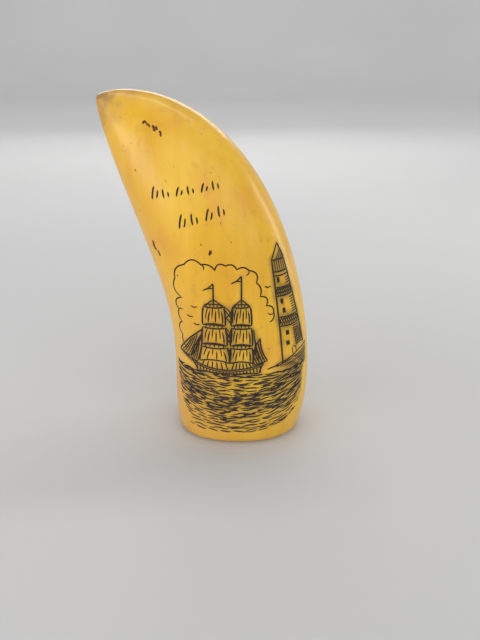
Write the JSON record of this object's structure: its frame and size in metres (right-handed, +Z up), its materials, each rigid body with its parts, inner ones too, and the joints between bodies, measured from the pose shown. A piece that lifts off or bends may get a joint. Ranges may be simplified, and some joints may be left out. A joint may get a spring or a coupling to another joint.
{
  "type": "scrimshaw whale tooth",
  "caption": "Curved, polished whale tooth that stands on its sawn root end, engraved on one face with a sailing ship, sea, cloud and lighthouse.",
  "frame": {"origin": "middle of the flat, sawn root end, on the surface that the tooth stands on", "axes": "+Z up along the standing tooth; the engraved broad face looks along -Y; the tip leans toward -X"},
  "size_m": [0.0851, 0.0466, 0.1471],
  "materials": {
    "ivory": "polished amber-yellow ivory with dark pigment rubbed into the engraved lines"
  },
  "bodies": {
    "root": {"tooth": "ivory"}
  },
  "joints": []
}
